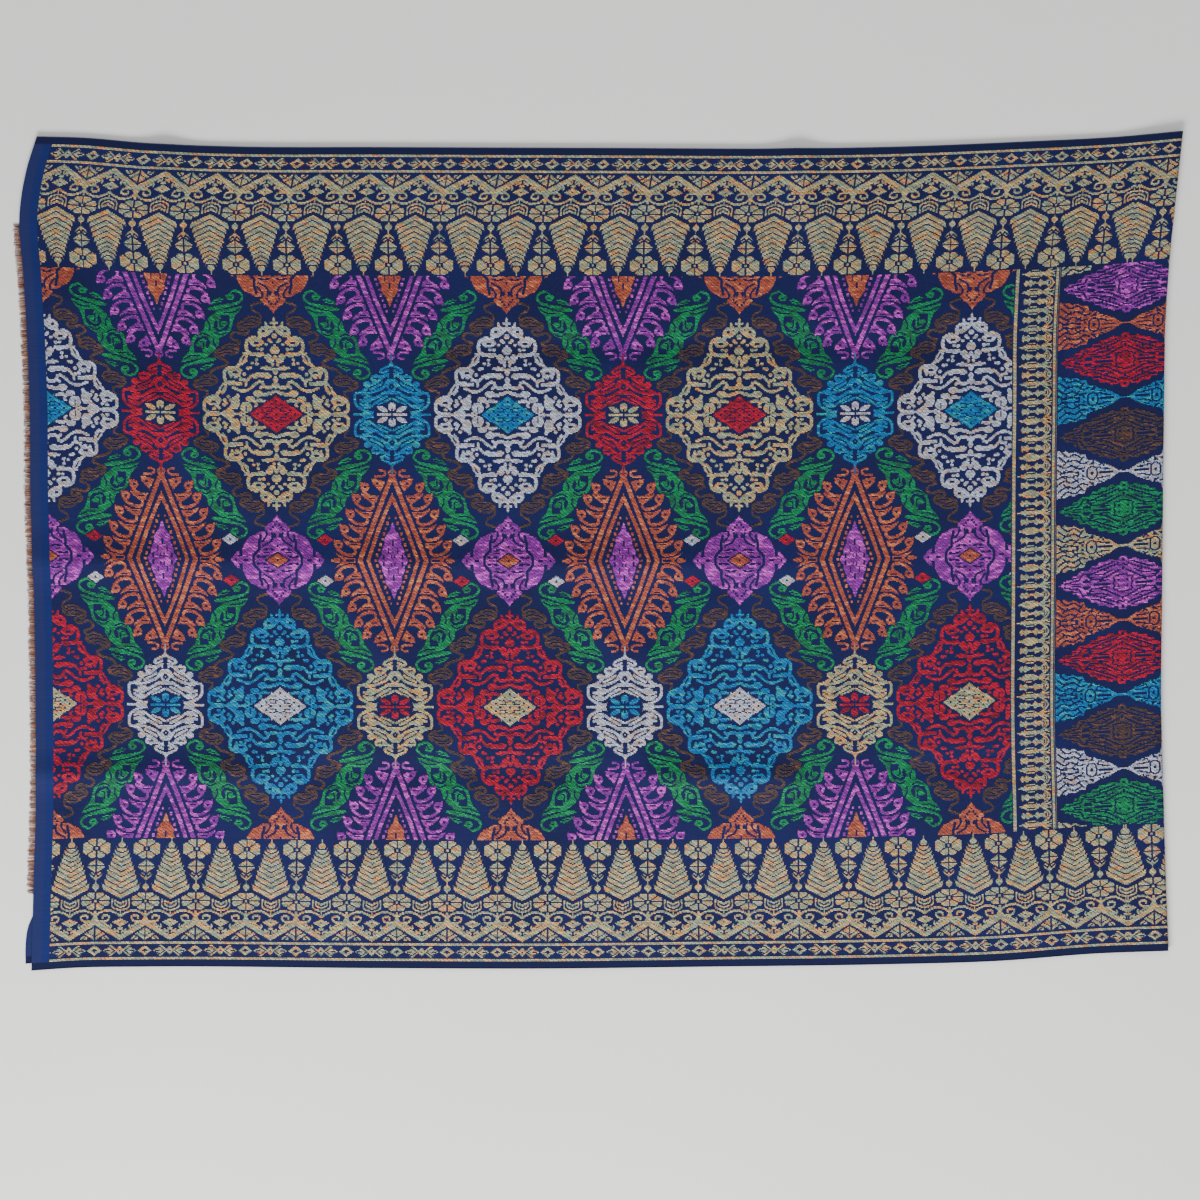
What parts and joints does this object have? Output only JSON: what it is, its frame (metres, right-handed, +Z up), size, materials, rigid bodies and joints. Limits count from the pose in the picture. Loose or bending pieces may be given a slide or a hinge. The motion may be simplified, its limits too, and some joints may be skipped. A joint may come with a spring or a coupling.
{
  "type": "folded brocaded waist wrap cloth",
  "caption": "Long brocaded waist wrap cloth, folded once across its length and laid flat, with short cut weft ends along its open end.",
  "frame": {"origin": "on the resting face, below the middle of the folded cloth", "axes": "+X along the cloth from its open ends to the fold, +Y from the lower selvedge to the upper one, +Z up from the surface that it lies on"},
  "size_m": [1.132, 0.8129, 0.0105],
  "materials": {
    "brocaded_cloth": "navy plain weave ground brocaded with coloured and metallic yarns",
    "weft_ends": "loose cut ends of copper brown yarn"
  },
  "bodies": {
    "root": {"folded_cloth": "brocaded_cloth", "weft_end_fringe": "weft_ends"}
  },
  "joints": []
}
